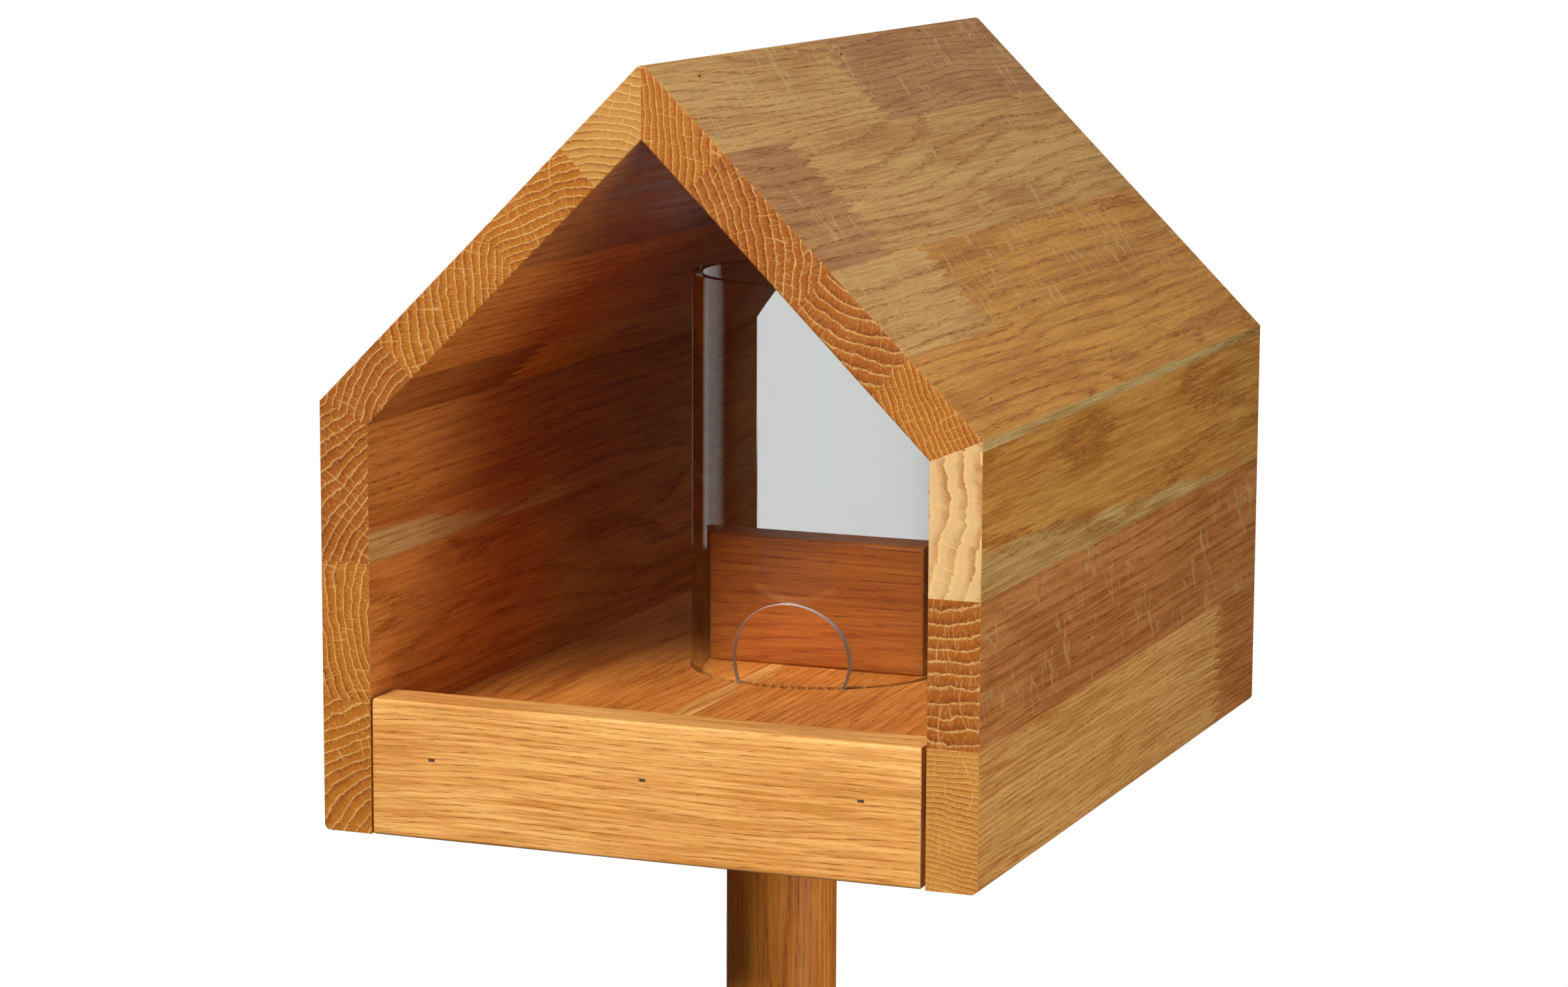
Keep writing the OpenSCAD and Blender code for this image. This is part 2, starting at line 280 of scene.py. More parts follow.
# %% Draw the rings round the pith
SWING = 22.0  # how far the pith wanders, in millimetres
pith_across, pith_depth, spacing = add(oak, "ShaderNodeSeparateXYZ", [given["Pith"]], output=None)
wander = add(
    oak,
    "ShaderNodeSeparateColor",
    [grain(240, 70, 3.0, detail=1.5, output=1)],
    output=None,
)
swing_a = add(
    oak,
    MATH,
    [add(oak, MATH, [wander[0], 0.5], operation="SUBTRACT"), SWING],
    operation="MULTIPLY",
)
swing_b = add(
    oak,
    MATH,
    [add(oak, MATH, [wander[1], 0.5], operation="SUBTRACT"), SWING],
    operation="MULTIPLY",
)
from_a = add(
    oak,
    MATH,
    [add(oak, MATH, [across, pith_across], operation="SUBTRACT"), swing_a],
    operation="ADD",
)
from_b = add(
    oak,
    MATH,
    [add(oak, MATH, [depth, pith_depth], operation="SUBTRACT"), swing_b],
    operation="ADD",
)
radius = add(
    oak,
    MATH,
    [
        add(
            oak,
            MATH,
            [
                add(oak, MATH, [from_a, 2.0], operation="POWER"),
                add(oak, MATH, [from_b, 2.0], operation="POWER"),
            ],
            operation="ADD",
        ),
    ],
    operation="SQRT",
)
jitter = add(
    oak,
    MATH,
    [add(oak, MATH, [grain(110, 8, 9.0), 0.5], operation="SUBTRACT"), 0.9],
    operation="MULTIPLY",
)
ragged = add(
    oak,
    MATH,
    [add(oak, MATH, [grain(30, 1.6, 13.0, detail=1.0), 0.5], operation="SUBTRACT"), 0.22],
    operation="MULTIPLY",
)
year = add(
    oak,
    MATH,
    [
        add(oak, MATH, [radius, spacing], operation="DIVIDE"),
        add(oak, MATH, [jitter, ragged], operation="ADD"),
    ],
    operation="ADD",
)
part = add(oak, MATH, [year], operation="FRACT")
early = add(oak, RANGE, [part, 0.42, 0.08], **SMOOTH)
late = add(oak, RANGE, [part, 0.4, 1.0], **SMOOTH)
this_year = add(
    oak,
    "ShaderNodeTexWhiteNoise",
    {"W": add(oak, MATH, [year], operation="FLOOR")},
    noise_dimensions="1D",
)
print("rings:", len(oak.nodes), "nodes so far")

# %% [markdown]
# ## Rays
#
# Rays are thin sheets of tissue that run out from the pith. In end grain they are pale lines
# across the rings. Oak has broad ones some 3 mm apart and fine ones between, here drawn a little
# coarser than life so that they still show. Their spacing is an arc measured at 70 mm.

# %% Draw the rays
RAY_RADIUS = 70.0
RAY_SPACING = 3.2
arc = add(
    oak,
    MATH,
    [add(oak, MATH, [from_b, from_a], operation="ARCTAN2"), RAY_RADIUS],
    operation="MULTIPLY",
)
bend_place = add(
    oak,
    COMBINE,
    [
        add(oak, MATH, [arc, 9.0], operation="DIVIDE"),
        add(oak, MATH, [radius, 30.0], operation="DIVIDE"),
        seed,
    ],
)
bend = add(oak, NOISE, {"Vector": bend_place, "Scale": 1.0, "Detail": 1.0})
ray_phase = add(
    oak,
    MATH,
    [
        add(oak, MATH, [arc, RAY_SPACING], operation="DIVIDE"),
        add(oak, MATH, [bend, 3.0], operation="MULTIPLY"),
    ],
    operation="ADD",
)
ray_line = add(
    oak,
    RANGE,
    [add(oak, MATH, [ray_phase, 0.5], operation="PINGPONG"), 0.07, 0.02],
    **SMOOTH,
)
ray_place = add(
    oak,
    COMBINE,
    [
        add(oak, MATH, [add(oak, MATH, [ray_phase, 0.5], operation="ADD")], operation="FLOOR"),
        add(oak, MATH, [radius, 9.0], operation="DIVIDE"),
        seed,
    ],
)
ray_there = add(oak, NOISE, {"Vector": ray_place, "Scale": 1.0, "Detail": 0.0})
broad_ray = add(
    oak,
    MATH,
    [ray_line, add(oak, RANGE, [ray_there, 0.48, 0.62], **SMOOTH)],
    operation="MULTIPLY",
)
fine_place = add(
    oak,
    COMBINE,
    [
        add(oak, MATH, [arc, 0.45], operation="DIVIDE"),
        add(oak, MATH, [radius, 1.9], operation="DIVIDE"),
        seed,
    ],
)
fine_ray = add(
    oak,
    RANGE,
    [add(oak, NOISE, {"Vector": fine_place, "Scale": 1.0, "Detail": 2.0}), 0.5, 0.68],
    **SMOOTH,
)
print("rays:", len(oak.nodes), "nodes so far")

# %% [markdown]
# ## End grain
#
# Oil soaks deep into cut ends. The ground turns warm and dark, and the open early wood and
# the rays stay pale, so they read as a net of light lines.

# %% Colour the end grain
DEEP_END = (0.60, 0.42, 0.26)
patch = grain(400, 18, 5.0)
deep = add(oak, VECTOR, [given["End"], DEEP_END], operation="MULTIPLY")
ground = add(
    oak,
    MIX,
    {
        0: add(
            oak,
            MATH,
            [late, add(oak, RANGE, [patch, 0.35, 0.65, 0.4, 1.0], **SMOOTH)],
            operation="MULTIPLY",
        ),
        6: given["End"],
        7: deep,
    },
    **COLOUR,
)
speckle = grain(3, 0.45, 15.0, detail=1.0)
pale = add(
    oak,
    MATH,
    [
        add(
            oak,
            MATH,
            [
                add(oak, RANGE, [part, 0.26, 0.08], **SMOOTH),
                add(oak, RANGE, [speckle, 0.36, 0.56, 0.2, 1.0], **SMOOTH),
            ],
            operation="MULTIPLY",
        ),
        add(
            oak,
            MATH,
            [
                add(oak, MATH, [broad_ray, 0.6], operation="MULTIPLY"),
                add(oak, MATH, [fine_ray, 0.3], operation="MULTIPLY"),
            ],
            operation="MAXIMUM",
        ),
    ],
    operation="MAXIMUM",
)
line = add(oak, MIX, {0: 0.6, 6: given["End"], 7: linear(END_LINE)}, **COLOUR)
end_colour = add(
    oak,
    MIX,
    {
        0: add(
            oak,
            MATH,
            [pale, add(oak, RANGE, [patch, 0.3, 0.7, 1.0, 0.7], **SMOOTH)],
            operation="MULTIPLY",
        ),
        6: ground,
        7: line,
    },
    **COLOUR,
)
print("end grain:", len(oak.nodes), "nodes so far")

# %% [markdown]
# ## The colour of a stave
#
# Glued board mixes wood of several trees, so each stave has its own colour, and another one
# past a finger joint. A strip of pale sapwood runs along the edge of some staves.

# %% Give each stave its own colour
stave_colour = add(oak, MIX, {0: past_joint, 6: given["Face"], 7: given["Beyond"]}, **COLOUR)
sap_edge = add(
    oak,
    MATH,
    [across, add(oak, MATH, [grain(70, 6, 61.0), 12.0], operation="MULTIPLY")],
    operation="ADD",
)
sap_edge = add(
    oak,
    MATH,
    [sap_edge, add(oak, MATH, [along, 0.045], operation="MULTIPLY")],
    operation="ADD",
)
sappy = add(
    oak,
    RANGE,
    [add(oak, MATH, [sap_edge, given["Sap"]], operation="SUBTRACT"), 8.0, 4.0],
    **SMOOTH,
)
stave_colour = add(
    oak,
    MIX,
    {0: add(oak, MATH, [sappy, 0.75], operation="MULTIPLY"), 6: stave_colour, 7: linear(SAP)},
    **COLOUR,
)
print("stave colour:", len(oak.nodes), "nodes so far")

# %% [markdown]
# ## Streaks and pores
#
# Streaks about 1 mm wide are the rings seen lengthwise. Pores are short brown dashes, 6.5 mm
# long. They are crowded in the early wood.

# %% Draw streaks and pores
streak = grain(42, 1.15, 21.0, detail=3.0, roughness=0.58, distortion=0.5)
broad = grain(300, 14, 27.0, detail=2.0)
pore = add(
    oak,
    MATH,
    [
        add(oak, RANGE, [grain(6.5, 0.34, 33.0, detail=2.0), 0.53, 0.62], **SMOOTH),
        add(oak, RANGE, [early, 0.0, 1.0, 0.35, 1.0], **SMOOTH),
    ],
    operation="MULTIPLY",
)
print("streaks and pores:", len(oak.nodes), "nodes so far")

# %% [markdown]
# ## Flecks
#
# Where a face is cut along the rays they lie flat in it and shine as pale flecks across the
# grain. Figure says how much of this a stave has. Without figure there are none.

# %% Draw the flecks of flat rays
slant = add(
    oak,
    COMBINE,
    [
        add(
            oak,
            MATH,
            [
                add(
                    oak,
                    MATH,
                    [along, add(oak, MATH, [across, 0.5], operation="MULTIPLY")],
                    operation="ADD",
                ),
                8.0,
            ],
            operation="DIVIDE",
        ),
        add(oak, MATH, [across, 30.0], operation="DIVIDE"),
        seed,
    ],
)
fleck_noise = add(oak, NOISE, {"Vector": slant, "Scale": 1.0, "Detail": 2.0, "Roughness": 0.4})
fleck_here = add(
    oak,
    MATH,
    [grain(34, 24, 47.0), add(oak, MATH, [given["Figure"], 0.12], operation="MULTIPLY")],
    operation="ADD",
)
fleck = add(
    oak,
    MATH,
    [
        add(
            oak,
            RANGE,
            [
                add(
                    oak,
                    MATH,
                    [add(oak, MATH, [fleck_noise, 0.5], operation="SUBTRACT")],
                    operation="ABSOLUTE",
                ),
                0.026,
                0.008,
            ],
            **SMOOTH,
        ),
        add(
            oak,
            MATH,
            [
                add(oak, RANGE, [fleck_here, 0.58, 0.68], **SMOOTH),
                add(oak, RANGE, [given["Figure"], 0.15, 0.4], **SMOOTH),
            ],
            operation="MULTIPLY",
        ),
    ],
    operation="MULTIPLY",
)
print("flecks:", len(oak.nodes), "nodes so far")

# %% [markdown]
# ## Tone
#
# The tone deepens in streaks, early wood and warm patches, and a little differently every
# year. Pores go over it and flecks over them, because a fleck hides the pores under it.

# %% Mix the long grain
DEEP_STREAK = (0.66, 0.50, 0.31)
DEEP_PORE = (0.60, 0.46, 0.32)
blotch = grain(85, 20, 67.0, detail=3.0, roughness=0.6)
warm = add(
    oak,
    MATH,
    [
        add(
            oak,
            MATH,
            [add(oak, RANGE, [broad, 0.32, 0.68], **SMOOTH), 0.5],
            operation="MULTIPLY",
        ),
        add(oak, RANGE, [blotch, 0.4, 0.68], **SMOOTH),
    ],
    operation="ADD",
)
deepened = add(oak, VECTOR, [stave_colour, DEEP_STREAK], operation="MULTIPLY")
shade = add(
    oak,
    MATH,
    [
        add(
            oak,
            MATH,
            [add(oak, RANGE, [streak, 0.3, 0.7, 1.0, 0.0], **SMOOTH), 0.8],
            operation="MULTIPLY",
        ),
        add(
            oak,
            MATH,
            [
                add(oak, MATH, [early, 0.3], operation="MULTIPLY"),
                add(
                    oak,
                    MATH,
                    [
                        add(oak, MATH, [warm, 0.4], operation="MULTIPLY"),
                        add(oak, MATH, [this_year, 0.2], operation="MULTIPLY"),
                    ],
                    operation="SUBTRACT",
                ),
            ],
            operation="ADD",
        ),
    ],
    operation="ADD",
)
toned = add(
    oak,
    MIX,
    {
        0: add(oak, MATH, [shade, 0.14], operation="SUBTRACT", use_clamp=True),
        6: stave_colour,
        7: deepened,
    },
    **COLOUR,
)
streaked = add(oak, VECTOR, {0: toned, 3: 1.17}, operation="SCALE")
pored = add(
    oak,
    MIX,
    {
        0: add(oak, MATH, [pore, 0.9], operation="MULTIPLY"),
        6: streaked,
        7: add(oak, VECTOR, [streaked, DEEP_PORE], operation="MULTIPLY"),
    },
    **COLOUR,
)
flecked = add(
    oak,
    MIX,
    {0: add(oak, MATH, [fleck, 0.6], operation="MULTIPLY"), 6: pored, 7: linear(RAY)},
    **COLOUR,
)
print("long grain:", len(oak.nodes), "nodes so far")

# %% [markdown]
# ## End, face and arris
#
# Each face is end grain or long grain. Sanded arrises take less oil and stay paler. The wood
# is rougher between the streaks and in the pores, and the open pores sink a little.

# %% Join the faces and set the gloss
grained = add(oak, MIX, {0: given["End grain"], 6: flecked, 7: end_colour}, **COLOUR)
worn = add(
    oak,
    MATH,
    [given["Arris"], add(oak, RANGE, [grain(14, 2.0, 53.0), 0.35, 0.7, 0.05, 0.4], **SMOOTH)],
    operation="MULTIPLY",
)
colour = add(oak, MIX, {0: worn, 6: grained, 7: linear(RAY)}, **COLOUR)
rough = add(
    oak,
    MATH,
    [
        add(oak, RANGE, [streak, 0.3, 0.7, 0.48, 0.6], **SMOOTH),
        add(oak, MATH, [pore, 0.18], operation="MULTIPLY"),
    ],
    operation="ADD",
)
height = add(
    oak,
    MATH,
    [
        add(oak, MATH, [streak, 0.35], operation="MULTIPLY"),
        add(
            oak,
            MATH,
            [
                add(oak, MATH, [pore, 0.8], operation="MULTIPLY"),
                add(oak, MATH, [early, 0.25], operation="MULTIPLY"),
            ],
            operation="ADD",
        ),
    ],
    operation="SUBTRACT",
)
add(oak, "NodeGroupOutput", {"Color": colour, "Roughness": rough, "Height": height}, output=None)
print("oak group:", len(oak.nodes), "nodes")

# %% [markdown]
# ## Oak with an oil finish
#
# The finish is hard wax oil, wiped on after sanding. It leaves oak satin, with soft highlights
# and open pores that can be felt, which the relief shows. An attribute of each face feeds each
# input of the group. Oil has an IOR near 1.5.


# %% Make the three oaks
def oiled_oak(name, relief=0.12):
    """Oak with an oil finish: satin, IOR 1.5, and a slight relief from its open pores."""
    material = bpy.data.materials.new(name)
    material.use_nodes = True
    tree = material.node_tree
    shader = tree.nodes["Principled BSDF"]
    faces = {}
    for socket, attribute, output in (
        ("Place", "place", 1),
        ("Pith", "pith", 1),
        ("Seed", "seed", 2),
        ("Joint", "joint", 2),
        ("Face", "face_colour", 0),
        ("End", "end_colour", 0),
        ("Beyond", "beyond_colour", 0),
        ("End grain", "end_grain", 2),
        ("Arris", "arris", 2),
        ("Figure", "figure", 2),
        ("Sap", "sap", 2),
    ):
        faces[socket] = add(tree, "ShaderNodeAttribute", output=output, attribute_name=attribute)
    colour, rough, height = add(tree, "ShaderNodeGroup", faces, output=None, node_tree=oak)
    depth = relief * MM
    bump = add(tree, "ShaderNodeBump", {"Strength": 0.6, "Distance": depth, "Height": height})
    tree.links.new(colour, shader.inputs["Base Color"])
    tree.links.new(rough, shader.inputs["Roughness"])
    tree.links.new(bump, shader.inputs["Normal"])
    shader.inputs["IOR"].default_value = 1.5
    shader.inputs["Specular IOR Level"].default_value = 0.3
    return material


board_oak = oiled_oak("oiled oak board")
rail_oak = oiled_oak("oiled light oak")
pole_oak = oiled_oak("oiled dark oak", relief=0.2)
print("oak materials:", board_oak.name, rail_oak.name, pole_oak.name)

# %% [markdown]
# ## Staves
#
# A stave is a width, a face colour, an end colour, the place of its pith and the spacing of
# its rings. The pith is given across and through the board from the stave's own middle, in
# millimetres. A finger joint is a distance from the front and the colour beyond it.

# %% Colours and staves
# The wheat colour of the right roof has its blue raised a little as a painted sheen, for the roof's
# reflection of white surroundings.
HONEY, GOLD, WHEAT_WITH_PAINTED_SHEEN, AMBER = "#dc9f4c", "#ebb064", "#d3a45e", "#cf933e"
# The umber of the left roof is deepened as painted shade, for its underside seen inside the house.
RUSSET, BROWN, FAWN, UMBER_WITH_PAINTED_SHADE = "#d4883c", "#d08a4a", "#bd8950", "#b06e34"
END_DEEP, END_WARM, END_PALE = "#a2570c", "#b26712", "#deb37a"
NO_JOINT = 1e6
NO_SAP = -1000


class Stave:
    def __init__(
        self, width, face, end, pith, spacing, joint=NO_JOINT, beyond=None, figure=0.1, sap=NO_SAP
    ):
        self.width, self.face, self.end = width * MM, face, end
        self.pith, self.spacing = pith, spacing
        self.joint, self.beyond = joint, beyond or face
        self.figure, self.sap = figure, sap


class Grain:
    """A board's own directions: along the grain, across the staves, and inwards."""

    def __init__(self, origin, along, across, inwards):
        self.origin = Vector(origin)
        self.axes = [Vector(a).normalized() for a in (along, across, inwards)]

    def place(self, point):
        return Vector([(point - self.origin).dot(axis) for axis in self.axes])


print("a board's colours run from", GOLD, "to", FAWN)

# %% [markdown]
# ## From a node to a board
#
# Each board starts from its own node, so it fits exactly. The triangles of flat faces are
# joined up, the board is cut at its glue lines, its free edges get the small round that
# sanding leaves, and every face then learns which stave it belongs to. An edge is eased only
# where two faces meet at a real corner and no other board closes it.


# %% Meshes from nodes and from profiles
def mesh_of_node(node):
    """A node's mesh as a bmesh with merged corners and whole flat faces."""
    made = bmesh.new()
    made.from_mesh(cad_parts[node].data)
    bmesh.ops.remove_doubles(made, verts=made.verts, dist=0.002 * MM)
    bmesh.ops.dissolve_limit(
        made, angle_limit=math.radians(0.5), verts=made.verts, edges=made.edges
    )
    return made


STEPS = 160  # round a turned solid, unless it asks for more


def turned(profile, steps=STEPS):
    """A solid turned about the Z axis from (radius, height) points, in metres."""
    made = bmesh.new()
    rings = []
    for radius, height in profile:
        if radius == 0:
            rings.append([made.verts.new((0, 0, height))])
            continue
        angles = [2 * math.pi * i / steps for i in range(steps)]
        around = [(radius * math.cos(a), radius * math.sin(a), height) for a in angles]
        rings.append([made.verts.new(point) for point in around])
    for low, high in zip(rings, rings[1:] + rings[:1]):
        for i in range(steps):
            there, back = low[i % len(low)], high[i % len(high)]
            corners = [there, low[(i + 1) % len(low)], high[(i + 1) % len(high)], back]
            corners = list(dict.fromkeys(corners))
            if len(corners) > 2:
                made.faces.new(corners)
    bmesh.ops.recalc_face_normals(made, faces=made.faces)
    return made


SHARP = 30  # a corner of more degrees than this is a real one


def smooth_round(made, sharp=SHARP):
    """Smooth shading, with every edge sharper than the given angle kept crisp."""
    for face in made.faces:
        face.smooth = True
    for edge in made.edges:
        edge.smooth = edge.calc_face_angle(0) < math.radians(sharp)


print("steps round a turned solid:", STEPS)

# %% [markdown]
# ## Cutting and sanding
#
# A cutter is a second solid that is taken away with a boolean, like a milling tool. Sanding
# rounds a free corner by about a millimetre. That small round catches the light and makes a
# board look real, so free corners get a bevel of three steps.


# %% Cut away and ease edges
def object_of(name, made):
    """Turns a bmesh into an object in the scene."""
    mesh = bpy.data.meshes.new(name)
    made.to_mesh(mesh)
    made.free()
    thing = bpy.data.objects.new(name, mesh)
    bpy.context.collection.objects.link(thing)
    return thing


def cut_away(made, cutter):
    """Cuts one bmesh out of another."""
    body, tool = object_of("body", made), object_of("tool", cutter)
    boolean = body.modifiers.new("cut", "BOOLEAN")
    boolean.operation, boolean.object, boolean.solver = "DIFFERENCE", tool, "EXACT"
    result = bmesh.new()
    result.from_object(body, bpy.context.evaluated_depsgraph_get())
    for used in (body, tool):
        bpy.data.objects.remove(used)
    return result


def ease_edges(made, grain_of, width, closed):
    """Rounds the corners that closed() doesn't name, and gives back the new faces."""
    sharp = [
        e
        for e in made.edges
        if len(e.link_faces) == 2
        and e.calc_face_angle(0) > math.radians(SHARP)
        and e.is_convex
        and not closed(grain_of.place((e.verts[0].co + e.verts[1].co) / 2))
    ]
    result = bmesh.ops.bevel(
        made, geom=sharp, offset=width, segments=3, profile=0.5, affect="EDGES", clamp_overlap=True
    )
    return result["faces"]


print("corners above", SHARP, "degrees are eased")

# %% [markdown]
# ## A board from its staves
#
# The board is cut at its glue lines, and each face is told about the stave it lies in. The
# finish reads that later, so one material serves every board.


# %% Make a board
FACE_NUMBERS = ("seed", "joint", "end_grain", "arris", "figure", "sap")
FACE_COLOURS = ("face_colour", "end_colour", "beyond_colour")


def make_oak(name, made, grain_of, staves, material, body, nodes, ease=0.7, closed=None, seed=1):
    """Finishes a board: glue lines, eased edges, and what each face knows about its stave."""
    edge = 0.0
    for stave in staves[:-1]:
        edge += stave.width
        bmesh.ops.bisect_plane(
            made,
            geom=[*made.verts, *made.edges, *made.faces],
            plane_co=grain_of.origin + grain_of.axes[1] * edge,
            plane_no=grain_of.axes[1],
            dist=0.001 * MM,
        )
    eased = []
    if ease:
        eased = ease_edges(made, grain_of, ease * MM, closed or (lambda place: False))
    vector_place = made.verts.layers.float_vector.new("place")
    pith_layer = made.faces.layers.float_vector.new("pith")
    numbers = {n: made.faces.layers.float.new(n) for n in FACE_NUMBERS}
    colours = {n: made.faces.layers.float_color.new(n) for n in FACE_COLOURS}
    for vert in made.verts:
        vert[vector_place] = grain_of.place(vert.co)
    eased = set(eased)
    for face in made.faces:
        middle_place = grain_of.place(face.calc_center_median())
        low = 0.0
        for index, stave in enumerate(staves):
            if middle_place.y < low + stave.width or stave is staves[-1]:
                break
            low += stave.width
        centre = low + stave.width / 2
        face[pith_layer] = (centre / MM + stave.pith[0], stave.pith[1], stave.spacing)
        face[numbers["seed"]] = seed + index * 1.37
        face[numbers["joint"]] = stave.joint
        face[numbers["figure"]] = stave.figure
        face[numbers["sap"]] = stave.sap
        face[numbers["end_grain"]] = float(abs(face.normal.dot(grain_of.axes[0])) > 0.6)
        face[numbers["arris"]] = float(face in eased)
        face[colours["face_colour"]] = linear(stave.face)
        face[colours["end_colour"]] = linear(stave.end)
        face[colours["beyond_colour"]] = linear(stave.beyond)
        face.smooth = face in eased
    thing = object_of(name, made)
    thing.data.materials.append(material)
    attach(thing, body)
    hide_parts(*nodes)
    print(f"{name}: {len(staves)} staves, {len(thing.data.polygons)} faces")
    return thing


print("each face carries", len(FACE_NUMBERS), "numbers and", len(FACE_COLOURS), "colours")

# %% [markdown]
# ## Walls and roof
#
# The four boards are mitred at the ridge and at both eaves, so the corners there stay sharp
# and closed. The free edges are the front and rear gables and the lower edges of the walls.

# %% Find which edges are closed
WALL_T = wall_hi.x - wall_lo.x
ROOF_T = 19 * MM
sin_p, cos_p = math.sin(PITCH), math.cos(PITCH)
slope = half_width / cos_p
right_wall_grain = Grain((wall_hi.x, FRONT, BASE), (0, 1, 0), (0, 0, 1), (-1, 0, 0))
left_wall_grain = Grain((left_lo.x, FRONT, BASE), (0, 1, 0), (0, 0, 1), (1, 0, 0))
right_roof_grain = Grain((0, FRONT, RIDGE), (0, 1, 0), (cos_p, 0, -sin_p), (-sin_p, 0, -cos_p))
left_roof_grain = Grain((0, FRONT, RIDGE), (0, 1, 0), (-cos_p, 0, -sin_p), (sin_p, 0, -cos_p))
LENGTH = BACK - FRONT


def inside_length(place):
    """True away from the two gable ends."""
    return 0.002 < place.x < LENGTH - 0.002


def wall_closed(place):
    """A wall's mitre is closed by the roof."""
    mitre = place.y > EAVE - BASE - 0.012
    return mitre and inside_length(place) or (mitre and abs(place.z - WALL_T / 2) < 0.006)


def roof_closed(place):
    """A roof board's mitres are closed at the ridge and at the eave."""
    near_ridge = place.y < 0.025 and (inside_length(place) or 0.004 < place.z < ROOF_T - 0.002)
    near_eave = place.y > slope - 0.015 and (inside_length(place) or 0.002 < place.z < ROOF_T - 0.002)
    return near_ridge or near_eave or inside_length(place)


print("board length in metres:", round(LENGTH, 3))

# %% [markdown]
# ## The walls
#
# Each wall is three or four staves, written from the bottom up. The right wall's front end
# shows a pale stave over a deep one, and its top edge is a thin strip of sapwood.

# %% Make the walls
make_oak(
    "left_wall_board",
    mesh_of_node("left_wall"),
    left_wall_grain,
    [
        Stave(49, RUSSET, END_WARM, (-50, 45), 3.9),
        Stave(50, RUSSET, END_WARM, (8, 90), 3.2),
        Stave(60, RUSSET, END_DEEP, (-55, 72), 3.4, sap=109),
    ],
    board_oak,
    "house",
    ["left_wall"],
    closed=wall_closed,
    seed=11,
)
make_oak(
    "right_wall_board",
    mesh_of_node("right_wall"),
    right_wall_grain,
    [
        Stave(50, GOLD, "#c78436", (-75, 20), 1.9, joint=302, beyond=BROWN),
        Stave(52, BROWN, END_DEEP, (90, 10), 4.6, figure=0.8),
        Stave(51.3, HONEY, END_PALE, (12, 75), 6.5, sap=118),
        Stave(6, SAP, END_PALE, (12, 75), 6.5),
    ],
    board_oak,
    "house",
    ["right_wall"],
    closed=wall_closed,
    seed=23,
)

# %% [markdown]
# ## The roof
#
# Roof staves run the length of the house and are written from the ridge down. The light right
# side has the most figure, and its wheat staves carry a painted sheen. The left side's underside
# is seen inside the house, and its umber staves are painted deeper there as shade.

# %% Make the roof
# The right roof's wheat staves carry a painted sheen in their raised blue.
make_oak(
    "right_roof_board",
    mesh_of_node("right_roof"),
    right_roof_grain,
    [
        Stave(43, WHEAT_WITH_PAINTED_SHEEN, END_WARM, (-55, 60), 2.6, joint=172, beyond=FAWN, figure=1.0),
        Stave(55, FAWN, END_DEEP, (-40, 70), 3.3, joint=66, beyond=WHEAT_WITH_PAINTED_SHEEN, figure=0.4),
        Stave(40, WHEAT_WITH_PAINTED_SHEEN, END_DEEP, (-25, -42), 4.2, joint=96, beyond=AMBER, figure=1.3),
        Stave(50, AMBER, END_WARM, (20, -60), 2.2, figure=0.2),
    ],
    board_oak,
    "house",
    ["right_roof"],
    closed=roof_closed,
    seed=37,
)
# The left roof's umber staves are painted deeper as shade for its underside inside the house.
make_oak(
    "left_roof_board",
    mesh_of_node("left_roof"),
    left_roof_grain,
    [
        Stave(43, UMBER_WITH_PAINTED_SHADE, "#c48a40", (60, 50), 3.0),
        Stave(43, UMBER_WITH_PAINTED_SHADE, END_WARM, (30, 70), 2.8, joint=210, beyond=BROWN),
        Stave(57, RUSSET, END_WARM, (-60, 60), 3.4),
        Stave(40, UMBER_WITH_PAINTED_SHADE, END_DEEP, (-20, 80), 3.2, joint=120, beyond=HONEY),
    ],
    board_oak,
    "house",
    ["left_roof"],
    closed=roof_closed,
    seed=53,
)

# %% [markdown]
# ## Floor, rails and divider
#
# The floor is a plain board with a ring groove milled for the tube. It is cut here again with
# more steps than the frame has, so that the groove shows as a true circle.


# %% Mill the floor
def block(low, high):
    """A box between two corners."""
    made = bmesh.new()
    bmesh.ops.create_cube(made, size=1.0)
    low, high = Vector(low), Vector(high)
    bmesh.ops.scale(made, vec=high - low, verts=made.verts)
    bmesh.ops.translate(made, vec=(low + high) / 2, verts=made.verts)
    return made


tube_axis = (tube_lo + tube_hi) / 2
tube_radius = (tube_hi.x - tube_lo.x) / 2
GROOVE_PLAY = 0.5 * MM
TUBE_WALL = 4 * MM
# The groove is a hair deeper than the tube, so that the two never share a plane as it turns.
groove_low = tube_lo.z - 0.05 * MM
FINE_STEPS = 240  # enough for a circle of 100 mm to look true
ring = turned(
    [
        (tube_radius - TUBE_WALL - GROOVE_PLAY, groove_low),
        (tube_radius + GROOVE_PLAY, groove_low),
        (tube_radius + GROOVE_PLAY, floor_hi.z + MM),
        (tube_radius - TUBE_WALL - GROOVE_PLAY, floor_hi.z + MM),
    ],
    steps=FINE_STEPS,
)
bmesh.ops.translate(ring, vec=(tube_axis.x, tube_axis.y, 0), verts=ring.verts)
floor_mesh = cut_away(block(floor_lo, floor_hi), ring)
pole_radius = (pole_hi.x - pole_lo.x) / 2
SEAT_PLAY = 0.2 * MM
seat = turned(
    [
        (0, floor_lo.z - MM),
        (pole_radius + SEAT_PLAY, floor_lo.z - MM),
        (pole_radius + SEAT_PLAY, pole_hi.z),
        (0, pole_hi.z),
    ]
)
floor_mesh = cut_away(floor_mesh, seat)
print("groove radius in metres:", round(tube_radius, 3))

# %% [markdown]
# ## Staves of the floor
#
# A real floor is glued up first and milled afterwards, so its grooves run straight through the
# glue lines. Here the milled solid is given its staves last, which comes to the same.

